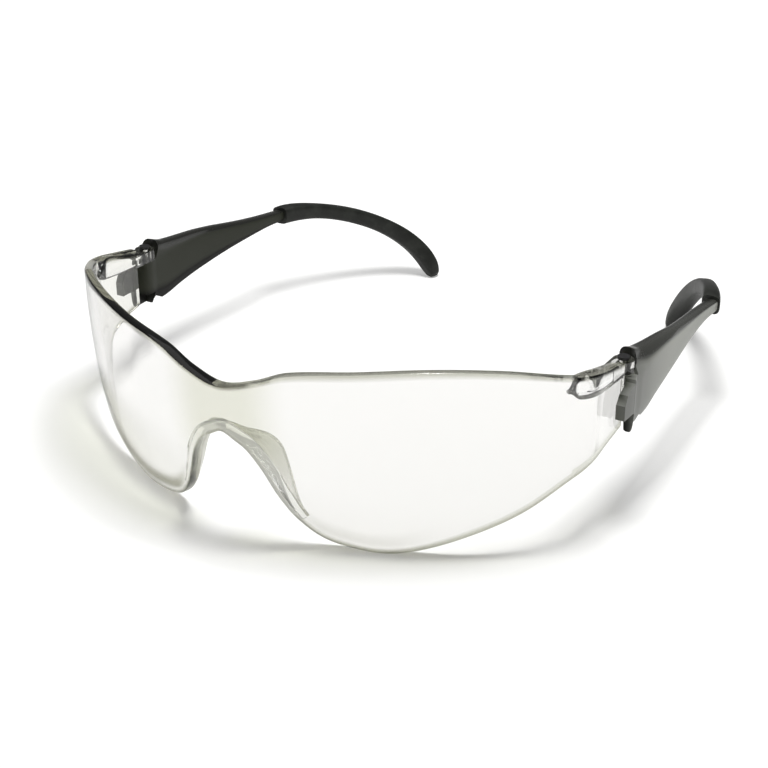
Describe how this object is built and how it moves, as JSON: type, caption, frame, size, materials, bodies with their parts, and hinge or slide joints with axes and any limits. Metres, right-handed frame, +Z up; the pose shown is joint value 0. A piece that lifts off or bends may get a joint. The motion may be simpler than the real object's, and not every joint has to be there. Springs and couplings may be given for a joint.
{
  "type": "safety glasses",
  "caption": "Frameless wraparound safety glasses: a clear moulded lens with nose flange and wings, and folding dark temples with hooked soft sleeves.",
  "frame": {"origin": "centre of the footprint on the surface that the open glasses stand on", "axes": "+X to the wearer's left, +Y from the lens front back to the sleeve tips, +Z up"},
  "size_m": [0.1432, 0.1674, 0.0472],
  "materials": {
    "lens": "clear polished polycarbonate",
    "arm": "satin-gloss moulded nylon, dark olive grey",
    "sleeve": "soft-touch matt rubber",
    "pin": "blackened steel"
  },
  "bodies": {
    "front": {"lens_shield": "lens"},
    "left_temple": {"left_temple_arm": "arm", "left_temple_sleeve": "sleeve", "left_hinge_pin": "pin"},
    "right_temple": {"right_temple_arm": "arm", "right_temple_sleeve": "sleeve", "right_hinge_pin": "pin"}
  },
  "joints": [
    {"name": "left_temple_fold", "type": "hinge", "parent": "front", "child": "left_temple", "pos_m": [0.067, -0.02393, 0.035], "axis": [0, 0, 1], "range_deg": [0, 80]},
    {"name": "right_temple_fold", "type": "hinge", "parent": "front", "child": "right_temple", "pos_m": [-0.067, -0.02393, 0.035], "axis": [0, 0, -1], "range_deg": [0, 90]}
  ]
}
